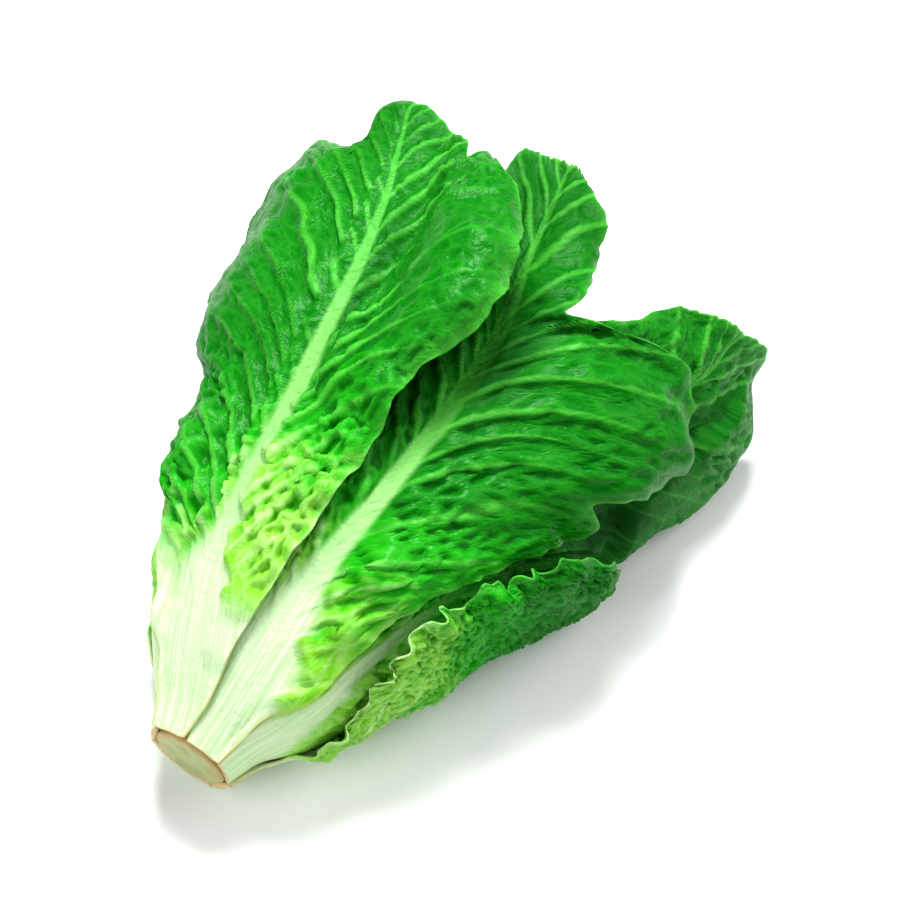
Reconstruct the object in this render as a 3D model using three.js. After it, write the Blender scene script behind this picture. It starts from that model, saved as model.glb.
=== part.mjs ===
import * as THREE from "three";

// A head of romaine lettuce lying on its side. The cut stem faces -X, the leaf tips point to +X,
// the lowest leaf rests on the ground plane z = 0. All lengths are millimetres, all angles degrees.
//
// The head is built from the inside outwards. Every place on a leaf is given by its distance
// "along" the head from the cut and its bearing round the centre line (0 is straight up, +90 is
// the left side, +Y). A leaf is a thin blade whose distance from the centre line follows the
// head's own rounded section, lifted wherever a leaf already laid inside it stands in the way.

const BLADE_THICKNESS = 1.2;
const CUT_FACE_TO_LEAF = 0.8;

// The back of the lowest leaf is pressed flat on the ground where it comes this close to it.
const GROUND_CONTACT = 0.4;

const HEAD_REACH = 320;
const DEGREE = Math.PI / 180;

// Height of the head's centre line above the ground, by distance along.
const CENTRE_HEIGHT = [[0, 30], [45, 38], [90, 44], [145, 49], [310, 52]];

// Half width and half height of the head's section, by distance along.
const HALF_WIDTH = [
  [0, 17.6], [13, 24], [22, 31], [41, 44], [60, 53], [87, 67], [115, 78],
  [150, 92], [185, 101], [220, 107], [250, 111], [300, 107],
];
const HALF_HEIGHT = [
  [0, 17.6], [13, 23], [22, 28], [45, 40], [90, 53], [145, 61], [200, 66], [250, 67], [310, 64],
];
const SECTION_ROUNDNESS = 2.3;

// The solid stem: radius by distance along, from the cut face to its hidden end.
const STEM_CHAMFER = 1;
const STEM_PROFILE = [[1, 16.6], [5, 16.2], [20, 12], [45, 9], [80, 5], [100, 1]];
const STEM_SIDES = 28;
const STEM_CLEARANCE = 0.4;

// Air between two leaves that lie on each other: tight at the stem, loose at the tips.
const GAP_AT_STEM = 0.9;
const GAP_OVER_BASE = 0.8;
const GAP_OVER_BLADE = 2.1;

// The rows of a leaf lean towards the tip as its side veins do; the lean grows over this length.
const LEAN_FROM = 12;
const LEAN_TO = 80;
const USUAL_LEAN = 0.45;

// Waves of a leaf: how far in from the margin the ruffles reach, and the two broad swells.
const RUFFLE_REACH = 13;
const SWELL_LENGTH = 78;
const SWELL_BREADTH = 95;

// Grid over which the top of everything already laid is remembered.
const GRID_STEP = 5;
const GRID_ANGLE = 4;
const SPREAD_FROM = 30;
const GRID_ROWS = HEAD_REACH / GRID_STEP + 1;
const GRID_COLUMNS = 360 / GRID_ANGLE + 1;


// Smooth curve through stations [place, value]; flat beyond the ends, no overshoot at a peak.
function along(stations, place) {
  const last = stations.length - 1;
  const x = Math.min(Math.max(place, stations[0][0]), stations[last][0]);
  let k = 0;
  while (k < last - 1 && x >= stations[k + 1][0]) k += 1;
  const rise = (a, b) => (stations[b][1] - stations[a][1]) / (stations[b][0] - stations[a][0]);
  const slope = (i) => {
    if (i === 0) return rise(0, 1);
    if (i === last) return rise(last - 1, last);
    if (rise(i - 1, i) * rise(i, i + 1) <= 0) return 0;
    return rise(i - 1, i + 1);
  };
  const span = stations[k + 1][0] - stations[k][0];
  const t = (x - stations[k][0]) / span;
  const t2 = t * t;
  const t3 = t2 * t;
  return (2 * t3 - 3 * t2 + 1) * stations[k][1]
    + (t3 - 2 * t2 + t) * span * slope(k)
    + (3 * t2 - 2 * t3) * stations[k + 1][1]
    + (t3 - t2) * span * slope(k + 1);
}

function clamp(x, low, high) {
  return Math.min(Math.max(x, low), high);
}

function blend(from, to, x) {
  const t = clamp((x - from) / (to - from), 0, 1);
  return t * t * (3 - 2 * t);
}

function wrapAngle(angle) {
  const turn = 2 * Math.PI;
  return ((angle + Math.PI) % turn + turn) % turn - Math.PI;
}

// Distance of the head's rounded section from the centre line at one bearing.
function section(s, bearing) {
  const across = Math.abs(Math.sin(bearing)) / along(HALF_WIDTH, s);
  const upright = Math.abs(Math.cos(bearing)) / along(HALF_HEIGHT, s);
  const sum = across ** SECTION_ROUNDNESS + upright ** SECTION_ROUNDNESS;
  return sum ** (-1 / SECTION_ROUNDNESS);
}

function leafGap(s) {
  return GAP_AT_STEM + GAP_OVER_BASE * blend(0, 20, s) + GAP_OVER_BLADE * blend(20, 90, s);
}


// The cover: for each distance along and bearing, how far out the leaves laid so far reach.
function makeCover(radiusAt) {
  const cover = [];
  for (let i = 0; i < GRID_ROWS; i += 1) {
    const row = [];
    for (let j = 0; j < GRID_COLUMNS; j += 1) {
      row.push(radiusAt(i * GRID_STEP, (j * GRID_ANGLE - 180) * DEGREE, i, j));
    }
    cover.push(row);
  }
  return cover;
}

function coverAt(cover, s, bearing) {
  const a = clamp(s / GRID_STEP, 0, GRID_ROWS - 1.001);
  const b = clamp((wrapAngle(bearing) + Math.PI) / (GRID_ANGLE * DEGREE), 0, GRID_COLUMNS - 1.001);
  const i = Math.floor(a);
  const j = Math.floor(b);
  const near = cover[i][j] * (1 - (b - j)) + cover[i][j + 1] * (b - j);
  const far = cover[i + 1][j] * (1 - (b - j)) + cover[i + 1][j + 1] * (b - j);
  return near * (1 - (a - i)) + far * (a - i);
}

function stemCover() {
  return makeCover((s) => along(STEM_PROFILE, s) + STEM_CLEARANCE + BLADE_THICKNESS / 2);
}


// Leaf form.
// A leaf is measured in its own terms: "lateral" is the distance from its midrib, positive
// towards +Y over the top; "reach" runs 0 at the base to 1 at the tip; "side" runs -1 to 1 from
// margin to margin. The tip outline gives the reach at which the blade ends for each side.
function midribBearing(leaf, s) {
  return along(leaf.bearing, s) * DEGREE;
}

function midribRadius(leaf, s) {
  return section(s, midribBearing(leaf, s)) * along(leaf.ride, s);
}

function halfBlade(leaf, reach, side) {
  return along(side < 0 ? leaf.right : leaf.left, clamp(reach, 0, 1));
}

function rowLean(leaf, s, lateral) {
  const lean = lateral < 0 ? leaf.leanRight : leaf.leanLeft;
  return lean * blend(LEAN_FROM, LEAN_TO, s) * Math.abs(lateral);
}

function leafPlace(leaf, s, bearing) {
  const lateral = wrapAngle(bearing - midribBearing(leaf, s)) * midribRadius(leaf, s);
  const reach = clamp((s - rowLean(leaf, s, lateral) - leaf.base) / leaf.length, -0.3, 1.4);
  const side = lateral / halfBlade(leaf, reach, lateral);
  const row = reach / along(leaf.tip, clamp(side, -1, 1));
  return { row, side, lateral, reach };
}

// The midrib stands out of the back of the blade as a rounded ridge that thins to the tip.
function midribHeight(leaf, reach, lateral) {
  const at = clamp(reach, 0, 1);
  const halfWidth = along(leaf.rib.map(([r, w]) => [r, w]), at);
  const height = along(leaf.rib.map(([r, , h]) => [r, h]), at);
  return height * Math.exp(-1.3 * (lateral / halfWidth) ** 2);
}

function ruffleWave(leaf, s, lateral) {
  const turn = 2 * Math.PI;
  const phase = leaf.phase;
  const first = turn * (s + 0.35 * lateral) / leaf.ruffleLength + phase;
  const second = turn * (0.8 * s - 0.7 * lateral) / (0.77 * leaf.ruffleLength) + 2 * phase + 1;
  const slow = Math.sin(first + 1.1 * Math.sin(0.37 * first + phase));
  const quick = Math.sin(second + 1.3 * Math.sin(0.29 * second));
  return (slow + 0.6 * quick) / 1.3;
}

function swellWave(leaf, s, lateral) {
  const turn = 2 * Math.PI;
  const lengthwise = Math.sin(turn * (0.7 * s + 0.8 * lateral) / SWELL_LENGTH + 1.7 * leaf.phase);
  const crosswise = Math.sin(turn * (0.5 * s - lateral) / SWELL_BREADTH + leaf.phase);
  return lengthwise * crosswise;
}

// How far out the leaf would lie if nothing were inside it.
function freeRadius(leaf, s, bearing, place) {
  const { row, side, lateral, reach } = place;
  const half = halfBlade(leaf, reach, lateral);
  const inFromSide = clamp(1 - Math.abs(side), 0, 1) * half;
  const inFromTip = clamp(1 - row, 0, 1) * leaf.length * 0.9;
  const nearMargin = Math.exp(-Math.min(inFromSide, inFromTip) / RUFFLE_REACH);
  const grown = blend(0.08, 0.3, reach);
  const calmTip = 1 - 0.5 * blend(0.75, 1, row);
  let radius = section(s, bearing) * along(leaf.ride, s);
  radius += leaf.ruffle * nearMargin * ruffleWave(leaf, s, lateral) * grown * calmTip;
  radius += leaf.swell * swellWave(leaf, s, lateral) * grown * blend(0, 20, Math.abs(lateral));
  for (const fold of leaf.folds) {
    const across = (side - fold.side) / fold.breadth;
    const lengthwise = (s - fold.s) / fold.span;
    radius += fold.lift * Math.exp(-across * across - lengthwise * lengthwise);
  }
  return radius;
}

// The leaf is pushed out by the cover beneath it and held up by the ground under it.
function leafRadius(leaf, s, bearing, cover) {
  const place = leafPlace(leaf, s, bearing);
  const free = freeRadius(leaf, s, bearing, place);
  const pushed = coverAt(cover, s, bearing);
  const softness = 1 + 8 * blend(5, 60, s);
  const radius = 0.5 * (free + pushed + Math.sqrt((free - pushed) ** 2 + softness));
  const down = -Math.cos(bearing);
  if (down < 0.05) return radius;
  const rib = midribHeight(leaf, place.reach, place.lateral);
  const lifted = leaf.groundHeight * blend(0, 30 + 3 * leaf.groundHeight, s);
  const room = along(CENTRE_HEIGHT, s) - lifted - rib;
  return Math.min(radius, room / down);
}

// The cover after this leaf is laid, with a soft skirt past its margin.
function layLeaf(leaf, cover) {
  const laid = makeCover((s, bearing, i, j) => {
    const { row, side, lateral, reach } = leafPlace(leaf, s, bearing);
    const skirt = 3 + 12 * blend(5, 70, s);
    const past = (Math.abs(side) - 1) * halfBlade(leaf, reach, lateral);
    const beyond = (row - 1) * leaf.length;
    const share = blend(1, 0, past / skirt) * blend(24, 8, beyond) * blend(-0.06, -0.01, reach);
    const rib = 0.95 * midribHeight(leaf, reach, lateral);
    const top = leafRadius(leaf, s, bearing, cover) + rib + leafGap(s);
    const under = cover[i][j];
    return Math.max(under, under + (top - under) * share);
  });
  return spread(laid, cover);
}

// Spreads what the new leaf raised by one grid step, so that the flat facets of the next leaf
// clear it between their corners. Near the stem it spreads round the head only.
function spread(laid, before) {
  return makeCover((s, bearing, i, j) => {
    const reachAlong = s < SPREAD_FROM ? 0 : 1;
    let highest = laid[i][j];
    for (let m = -reachAlong; m <= reachAlong; m += 1) {
      for (let n = -1; n <= 1; n += 1) {
        const row = clamp(i + m, 0, GRID_ROWS - 1);
        const column = (j + n + GRID_COLUMNS - 1) % (GRID_COLUMNS - 1);
        const raised = laid[row][column] > before[row][column];
        if (raised) highest = Math.max(highest, laid[row][column]);
      }
    }
    return highest;
  });
}


// Leaf body.
// Middle surface of the blade as rows of points, closer together near the stem and the margins.
function leafPoint(leaf, row, side, cover) {
  const reach = row * along(leaf.tip, side);
  const lateral = side * halfBlade(leaf, reach, side);
  const straight = leaf.base + reach * leaf.length;
  let s = straight;
  for (let pass = 0; pass < 24; pass += 1) s = straight + rowLean(leaf, s, lateral);
  const bearing = midribBearing(leaf, s) + lateral / midribRadius(leaf, s);
  const radius = leafRadius(leaf, s, bearing, cover);
  const height = along(CENTRE_HEIGHT, s) + radius * Math.cos(bearing);
  return {
    middle: new THREE.Vector3(s, radius * Math.sin(bearing), height),
    rib: midribHeight(leaf, reach, lateral),
  };
}

function leafGrid(leaf, cover) {
  const grid = [];
  for (let i = 0; i <= leaf.rows; i += 1) {
    const line = [];
    for (let j = 0; j <= leaf.columns; j += 1) {
      const t = 2 * j / leaf.columns - 1;
      line.push(leafPoint(leaf, (i / leaf.rows) ** 1.25, 1.3 * t - 0.3 * t ** 3, cover));
    }
    grid.push(line);
  }
  return grid;
}

// Unit vector out of the back of the blade at one grid point.
function backwards(grid, i, j) {
  const before = grid[Math.max(i - 1, 0)][j].middle;
  const after = grid[Math.min(i + 1, grid.length - 1)][j].middle;
  const line = grid[i];
  const rightOf = line[Math.max(j - 1, 0)].middle;
  const leftOf = line[Math.min(j + 1, line.length - 1)].middle;
  const lengthwise = new THREE.Vector3().subVectors(after, before);
  const crosswise = new THREE.Vector3().subVectors(leftOf, rightOf);
  return crosswise.cross(lengthwise).normalize();
}

// Back skin, front skin and the rim that joins them. Both skins are split along the same
// diagonals, so they never cross.
function leafGeometry(leaf, cover) {
  const grid = leafGrid(leaf, cover);
  const points = [];
  const triangles = [];
  const perLine = leaf.columns + 1;
  const perSkin = (leaf.rows + 1) * perLine;
  const back = (i, j) => i * perLine + j;
  const front = (i, j) => perSkin + i * perLine + j;
  const sign = backSign(grid);
  const skins = [[], []];
  for (let i = 0; i <= leaf.rows; i += 1) {
    for (let j = 0; j <= leaf.columns; j += 1) {
      const { middle, rib } = grid[i][j];
      const out = backwards(grid, i, j).multiplyScalar(sign);
      const behind = middle.clone().addScaledVector(out, BLADE_THICKNESS / 2 + rib);
      const before = middle.clone().addScaledVector(out, -BLADE_THICKNESS / 2);
      if (behind.z < GROUND_CONTACT) behind.z = 0;
      skins[0].push(behind);
      skins[1].push(before);
    }
  }
  for (const skin of skins) {
    for (const point of skin) points.push(point.x, point.y, point.z);
  }
  for (let i = 0; i < leaf.rows; i += 1) {
    for (let j = 0; j < leaf.columns; j += 1) {
      triangles.push([back(i, j), back(i, j + 1), back(i + 1, j + 1)]);
      triangles.push([back(i, j), back(i + 1, j + 1), back(i + 1, j)]);
      triangles.push([front(i, j), front(i + 1, j + 1), front(i, j + 1)]);
      triangles.push([front(i, j), front(i + 1, j), front(i + 1, j + 1)]);
    }
  }
  const margin = [];
  for (let j = 0; j < leaf.columns; j += 1) margin.push([0, j]);
  for (let i = 0; i < leaf.rows; i += 1) margin.push([i, leaf.columns]);
  for (let j = leaf.columns; j > 0; j -= 1) margin.push([leaf.rows, j]);
  for (let i = leaf.rows; i > 0; i -= 1) margin.push([i, 0]);
  margin.forEach(([i, j], k) => {
    const [m, n] = margin[(k + 1) % margin.length];
    triangles.push([back(m, n), back(i, j), front(i, j)]);
    triangles.push([back(m, n), front(i, j), front(m, n)]);
  });
  return solid(points, triangles, sign > 0);
}

// The grid's own normal points out of the back or the front of the blade; find which.
function backSign(grid) {
  let sum = 0;
  for (let i = 1; i < grid.length; i += 1) {
    const middleColumn = Math.floor(grid[i].length / 2);
    const { middle } = grid[i][middleColumn];
    const fromCentre = new THREE.Vector3(0, middle.y, middle.z - along(CENTRE_HEIGHT, middle.x));
    sum += Math.sign(backwards(grid, i, middleColumn).dot(fromCentre));
  }
  return sum < 0 ? -1 : 1;
}

function solid(points, triangles, keepOrder) {
  const geometry = new THREE.BufferGeometry();
  const order = keepOrder ? [0, 1, 2] : [0, 2, 1];
  const index = triangles.flatMap((triangle) => order.map((k) => triangle[k]));
  geometry.setAttribute("position", new THREE.Float32BufferAttribute(points, 3));
  geometry.setIndex(index);
  geometry.computeVertexNormals();
  return geometry;
}


// The stem: a round core with a flat cut face, tapering inside the head.
function stemGeometry() {
  const centre = along(CENTRE_HEIGHT, 0);
  const rings = [[0, STEM_PROFILE[0][1] - STEM_CHAMFER], ...STEM_PROFILE];
  const points = [0, 0, centre];
  const triangles = [];
  const at = (ring, side) => 1 + ring * STEM_SIDES + side % STEM_SIDES;
  for (const [s, radius] of rings) {
    for (let k = 0; k < STEM_SIDES; k += 1) {
      const bearing = 2 * Math.PI * k / STEM_SIDES;
      const height = along(CENTRE_HEIGHT, s) + radius * Math.cos(bearing);
      points.push(s, radius * Math.sin(bearing), height);
    }
  }
  const end = points.length / 3;
  const [lastPlace] = rings[rings.length - 1];
  points.push(lastPlace, 0, along(CENTRE_HEIGHT, lastPlace));
  for (let k = 0; k < STEM_SIDES; k += 1) {
    triangles.push([0, at(0, k), at(0, k + 1)]);
    for (let ring = 0; ring < rings.length - 1; ring += 1) {
      triangles.push([at(ring, k), at(ring + 1, k), at(ring + 1, k + 1)]);
      triangles.push([at(ring, k), at(ring + 1, k + 1), at(ring, k + 1)]);
    }
    triangles.push([end, at(rings.length - 1, k + 1), at(rings.length - 1, k)]);
  }
  return solid(points, triangles, true);
}


// Leaf outlines and the common proportions of a leaf.
const OUTER_HALF_BLADE = [
  [0, 7.4], [0.04, 10], [0.08, 13.5], [0.15, 21], [0.3, 40], [0.45, 58], [0.6, 72], [0.75, 76], [1, 70],
];
const OUTER_RIB = [[0, 8, 2.2], [0.04, 8.5, 4.4], [0.2, 7, 4], [0.4, 5, 3], [0.7, 3, 1.6], [1, 1.2, 0.6]];
const INNER_RIB = [[0, 6, 2], [0.3, 4, 1.8], [0.7, 2.5, 1.2], [1, 1, 0.5]];

// Half blade narrowed by a share, but as broad as the others where it joins the stem.
function narrowed(share) {
  return OUTER_HALF_BLADE.map(([reach, half]) => [reach, reach > 0.07 ? half * share : half]);
}

// A plain round tip: the blade ends earlier towards the margins.
function roundTip(drop) {
  const sides = [-1, -0.97, -0.9, -0.75, -0.5, -0.25, 0, 0.25, 0.5, 0.75, 0.9, 0.97, 1];
  return sides.map((side) => {
    const bowed = 0.5 * Math.abs(side) ** 2.5;
    const circular = 0.5 * (1 - Math.sqrt(1 - side * side));
    return [side, 1 - drop * (bowed + circular)];
  });
}

function makeLeaf(settings) {
  const usual = {
    rib: OUTER_RIB,
    tip: roundTip(0.3),
    leanLeft: USUAL_LEAN,
    leanRight: USUAL_LEAN,
    ruffle: 4,
    ruffleLength: 34,
    swell: 2.5,
    phase: 0,
    folds: [],
    groundHeight: 0.6,
    rows: 26,
    columns: 14,
    base: CUT_FACE_TO_LEAF,
  };
  const leaf = { ...usual, ...settings };
  leaf.length = leaf.end - leaf.base;
  return leaf;
}


// Small pale leaves at the heart of the head, from the innermost outwards.
function heartLeaves() {
  const places = [
    { bearing: 60, base: 34, end: 178, ride: 0.20, share: 0.42, ruffle: 2.5 },
    { bearing: -110, base: 30, end: 188, ride: 0.26, share: 0.48, ruffle: 2.5 },
    { bearing: -10, base: 24, end: 205, ride: 0.36, share: 0.55, ruffle: 3 },
    { bearing: 115, base: 22, end: 212, ride: 0.40, share: 0.6, ruffle: 3 },
    { bearing: -125, base: 20, end: 215, ride: 0.43, share: 0.6, ruffle: 3 },
  ];
  return places.map((place, k) => makeLeaf({
    name: `heart_leaf_${k + 1}`,
    color: "#c9dc86",
    base: place.base,
    end: place.end,
    bearing: [[0, place.bearing], [300, place.bearing + 12]],
    ride: [[0, place.ride], [150, place.ride], [300, place.ride * 1.15]],
    left: narrowed(place.share),
    right: narrowed(place.share),
    rib: INNER_RIB,
    ruffle: place.ruffle,
    ruffleLength: 30,
    phase: 1.3 * k,
    groundHeight: 33 - 3 * k,
    rows: 14,
    columns: 8,
  }));
}

// Middle-sized leaves between the heart and the outer leaves.
function innerLeaves() {
  const places = [
    { bearing: -48, base: 14, end: 228, ride: 0.60, share: 0.74, groundHeight: 17 },
    { bearing: 20, base: 13, end: 230, ride: 0.61, share: 0.76, groundHeight: 17 },
    { bearing: -100, base: 12, end: 226, ride: 0.64, share: 0.78, groundHeight: 17 },
    { bearing: 95, base: 12, end: 228, ride: 0.66, share: 0.78, groundHeight: 18 },
    { bearing: 170, base: 11, end: 225, ride: 0.73, share: 0.82, groundHeight: 13.5 },
  ];
  return places.map((place, k) => makeLeaf({
    name: `inner_leaf_${k + 1}`,
    color: "#8fc44f",
    base: place.base,
    end: place.end,
    bearing: [[0, place.bearing], [300, place.bearing + 6]],
    ride: [[0, place.ride], [150, place.ride], [300, place.ride * 1.12]],
    left: narrowed(place.share),
    right: narrowed(place.share),
    rib: INNER_RIB,
    ruffle: 3.5,
    ruffleLength: 33,
    phase: 2.1 * k + 0.5,
    groundHeight: place.groundHeight,
    rows: 18,
    columns: 8,
  }));
}

// The right-hand leaf: its tip shows past the middle leaf and its outer half folds up.
function rightLeaf() {
  return makeLeaf({
    name: "leaf_right",
    color: "#2f8f2a",
    end: 278,
    bearing: [[0, -75], [28, -74], [46, -74], [80, -75], [110, -78], [171, -80], [228, -80], [300, -78]],
    ride: [[0, 1], [30, 0.95], [80, 0.84], [110, 0.84], [171, 0.80], [228, 0.84], [300, 0.98]],
    left: [
      [0, 7.4], [0.04, 10], [0.08, 13.5], [0.15, 21], [0.3, 40], [0.45, 58], [0.6, 66],
      [0.72, 54], [0.82, 38], [1, 32],
    ],
    right: [
      [0, 7.4], [0.04, 10], [0.08, 13.5], [0.15, 21], [0.3, 40], [0.45, 56], [0.6, 66],
      [0.72, 66], [0.85, 60], [1, 54],
    ],
    tip: [
      [-1, 0.76], [-0.93, 0.83], [-0.82, 0.88], [-0.6, 0.94], [-0.3, 0.985], [0, 0.98],
      [0.37, 0.945], [0.7, 0.90], [0.9, 0.87], [1, 0.83],
    ],
    folds: [{ side: -0.95, s: 210, breadth: 0.55, span: 75, lift: 30 }],
    phase: 0.6,
    groundHeight: 10,
  });
}

// The leaf under the left-hand one, showing its pale ruffled margin at the head's left side.
function underLeftLeaf() {
  return makeLeaf({
    name: "leaf_under_left",
    color: "#8cc63c",
    end: 222,
    bearing: [[0, 76], [60, 86], [150, 92], [300, 95]],
    ride: [[0, 1], [30, 1.02], [60, 1.06], [100, 0.98], [150, 0.88], [300, 0.85]],
    left: narrowed(0.85),
    right: narrowed(0.85),
    ruffle: 5,
    ruffleLength: 30,
    phase: 2.2,
    groundHeight: 10,
    rows: 20,
    columns: 10,
  });
}

// The middle leaf: a long narrow tip, and a right half that swells into a broad lobe which
// hangs over the right-hand leaf.
function middleLeaf() {
  return makeLeaf({
    name: "leaf_middle",
    color: "#2f9a2c",
    end: 285,
    bearing: [[0, -25], [30, -20], [63, -17.6], [114, -20.6], [184, -21.5], [240, -14], [300, -2]],
    ride: [[0, 1], [30, 0.96], [63, 0.9], [114, 0.86], [184, 0.82], [300, 0.84]],
    left: [
      [0, 7.4], [0.04, 10], [0.08, 13.5], [0.15, 20], [0.3, 36], [0.45, 50], [0.6, 58],
      [0.75, 50], [0.86, 28], [1, 26],
    ],
    right: [
      [0, 7.4], [0.04, 10], [0.08, 14], [0.12, 25], [0.2, 33], [0.27, 46], [0.32, 54], [0.36, 58],
      [0.40, 50], [0.44, 56], [0.5, 72], [0.56, 67], [0.62, 56], [0.68, 46], [0.71, 38], [0.74, 22],
      [0.84, 22], [0.92, 14], [1, 12],
    ],
    tip: [
      [-1, 0.93], [-0.7, 0.96], [-0.3, 0.99], [0, 1], [0.4, 0.985], [0.8, 0.955], [0.95, 0.92], [1, 0.90],
    ],
    leanRight: 1.0,
    folds: [
      { side: -0.62, s: 200, breadth: 0.5, span: 50, lift: 17 },
      { side: 0.55, s: 210, breadth: 0.4, span: 60, lift: -8 },
    ],
    phase: 4.1,
    groundHeight: 10,
  });
}

// The left-hand leaf lies on top: a notched tip, a hollow beside its midrib and a broad flap
// that bulges over the middle leaf.
function leftLeaf() {
  return makeLeaf({
    name: "leaf_left",
    color: "#2b9428",
    end: 276,
    bearing: [[0, 25], [15, 27], [38, 31], [86, 36], [160, 37], [220, 41], [273, 48], [310, 52]],
    ride: [[0, 1], [100, 1.0], [160, 1.02], [300, 1.05]],
    left: [
      [0, 7.4], [0.04, 10], [0.1, 12], [0.17, 15], [0.225, 20], [0.25, 31], [0.3, 34], [0.37, 42],
      [0.43, 52], [0.5, 60], [0.6, 68], [0.7, 68], [0.85, 60], [1, 58],
    ],
    right: [
      [0, 7.4], [0.045, 13], [0.115, 22], [0.15, 29], [0.217, 41], [0.293, 48], [0.371, 54],
      [0.43, 55], [0.48, 62], [0.54, 73], [0.615, 78], [0.71, 76], [0.786, 69], [0.85, 60], [1, 58],
    ],
    tip: [
      [-1, 0.79], [-0.9, 0.845], [-0.76, 0.885], [-0.5, 0.92], [-0.33, 0.945], [-0.16, 0.98], [0, 1],
      [0.12, 0.985], [0.2, 0.945], [0.27, 0.875], [0.36, 0.85], [0.55, 0.845], [0.75, 0.80],
      [0.92, 0.74], [1, 0.69],
    ],
    folds: [
      { side: -0.75, s: 195, breadth: 0.32, span: 45, lift: 16 },
      { side: -0.33, s: 205, breadth: 0.17, span: 60, lift: -11 },
      { side: 0.6, s: 180, breadth: 0.4, span: 40, lift: 4 },
    ],
    ruffleLength: 36,
    phase: 5.3,
    groundHeight: 10,
  });
}

// The short outer leaf at the lower right, ending about halfway along the head.
function shortRightLeaf() {
  return makeLeaf({
    name: "leaf_short_right",
    color: "#3f9c2e",
    end: 164,
    bearing: [[0, -127], [40, -127], [150, -128], [300, -126]],
    ride: [[0, 1.0], [50, 1.04], [85, 1.04], [120, 1.09], [155, 1.12], [300, 1.1]],
    left: [
      [0, 7.4], [0.05, 11], [0.14, 17], [0.2, 29], [0.24, 48], [0.29, 70], [0.35, 72], [0.5, 75],
      [0.6, 76], [0.75, 72], [1, 66],
    ],
    right: narrowed(0.8),
    tip: [
      [-1, 0.7], [-0.9, 0.8], [-0.6, 0.9], [-0.3, 0.96], [0, 0.98], [0.3, 0.96], [0.6, 0.88],
      [0.85, 0.78], [1, 0.66],
    ],
    ruffle: 5,
    ruffleLength: 27,
    phase: 1.1,
    groundHeight: 3.6,
    rows: 18,
  });
}

// The outer leaf at the lower left.
function lowerLeftLeaf() {
  return makeLeaf({
    name: "leaf_lower_left",
    color: "#4da334",
    end: 228,
    bearing: [[0, 128], [60, 130], [300, 134]],
    ride: [[0, 1], [100, 0.98], [200, 0.93]],
    left: narrowed(0.85),
    right: narrowed(0.7),
    ruffleLength: 32,
    phase: 3.1,
    groundHeight: 3.6,
    rows: 20,
    columns: 10,
  });
}

// The outermost leaf underneath, flattened by the weight of the head.
function bottomLeaf() {
  return makeLeaf({
    name: "leaf_bottom",
    color: "#4da334",
    end: 255,
    bearing: [[0, -178], [60, -177], [300, -178]],
    ride: [[0, 1.0], [300, 1.02]],
    left: narrowed(0.8),
    right: narrowed(0.8),
    ruffle: 3,
    ruffleLength: 36,
    phase: 0.3,
    groundHeight: 0.6,
    rows: 20,
    columns: 10,
  });
}


// Assembly: the stem first, then every leaf over the ones inside it.
function named(name, geometry, color, roughness) {
  const material = new THREE.MeshStandardMaterial({ color, roughness, metalness: 0 });
  const mesh = new THREE.Mesh(geometry, material);
  mesh.name = name;
  return mesh;
}

const STEM_ROUGHNESS = 0.6;
const LEAF_ROUGHNESS = 0.4;

const head = new THREE.Group();
head.name = "romaine_lettuce_head";
head.add(named("stem", stemGeometry(), "#e6e5b4", STEM_ROUGHNESS));

const leaves = [
  ...heartLeaves(),
  ...innerLeaves(),
  rightLeaf(),
  underLeftLeaf(),
  middleLeaf(),
  leftLeaf(),
  shortRightLeaf(),
  lowerLeftLeaf(),
  bottomLeaf(),
];
let cover = stemCover();
for (const leaf of leaves) {
  head.add(named(leaf.name, leafGeometry(leaf, cover), leaf.color, LEAF_ROUGHNESS));
  cover = layLeaf(leaf, cover);
}

// The origin is under the middle of the whole head.
const box = new THREE.Box3().setFromObject(head);
const middleX = (box.min.x + box.max.x) / 2;
const middleY = (box.min.y + box.max.y) / 2;
for (const mesh of head.children) mesh.geometry.translate(-middleX, -middleY, -box.min.z);

export default head;
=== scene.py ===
import math

import bpy
import numpy as np
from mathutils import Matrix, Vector


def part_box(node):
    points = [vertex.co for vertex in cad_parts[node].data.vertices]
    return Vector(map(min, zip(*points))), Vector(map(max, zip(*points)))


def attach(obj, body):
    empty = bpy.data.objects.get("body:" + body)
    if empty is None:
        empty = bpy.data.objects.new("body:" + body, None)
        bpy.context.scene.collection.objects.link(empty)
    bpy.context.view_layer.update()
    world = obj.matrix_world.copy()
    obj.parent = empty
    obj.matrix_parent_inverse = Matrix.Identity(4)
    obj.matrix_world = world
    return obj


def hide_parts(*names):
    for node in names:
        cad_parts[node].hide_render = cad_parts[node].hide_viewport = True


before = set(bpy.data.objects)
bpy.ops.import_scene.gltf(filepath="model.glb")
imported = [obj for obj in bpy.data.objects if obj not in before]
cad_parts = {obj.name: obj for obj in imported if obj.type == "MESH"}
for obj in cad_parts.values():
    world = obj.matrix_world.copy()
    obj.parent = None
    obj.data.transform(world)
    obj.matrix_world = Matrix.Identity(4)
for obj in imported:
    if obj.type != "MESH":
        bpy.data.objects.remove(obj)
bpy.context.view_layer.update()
scene = bpy.context.scene


# Camera, table and light.
# The photo looks down on the head from beyond its cut stem, a little to its right. The picture
# is square, with the cut face at its lower left. The main lamp hangs above the leaves' tips.
MM = 0.001
PICTURE = 900
CUT_FACE_PIXEL = (197, 750)
PIXELS_PER_METRE = 2400
LENS = 100
SENSOR = 36
LOOK_AZIMUTH = math.radians(32.2)
LOOK_ELEVATION = math.radians(60.2)
HEAD_MIDDLE_HEIGHT = 60 * MM
CUT_FACE_HEIGHT = 30 * MM

stem_low, stem_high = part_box("stem")
head_start = Vector((stem_low.x, (stem_low.y + stem_high.y) / 2, 0))

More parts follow.
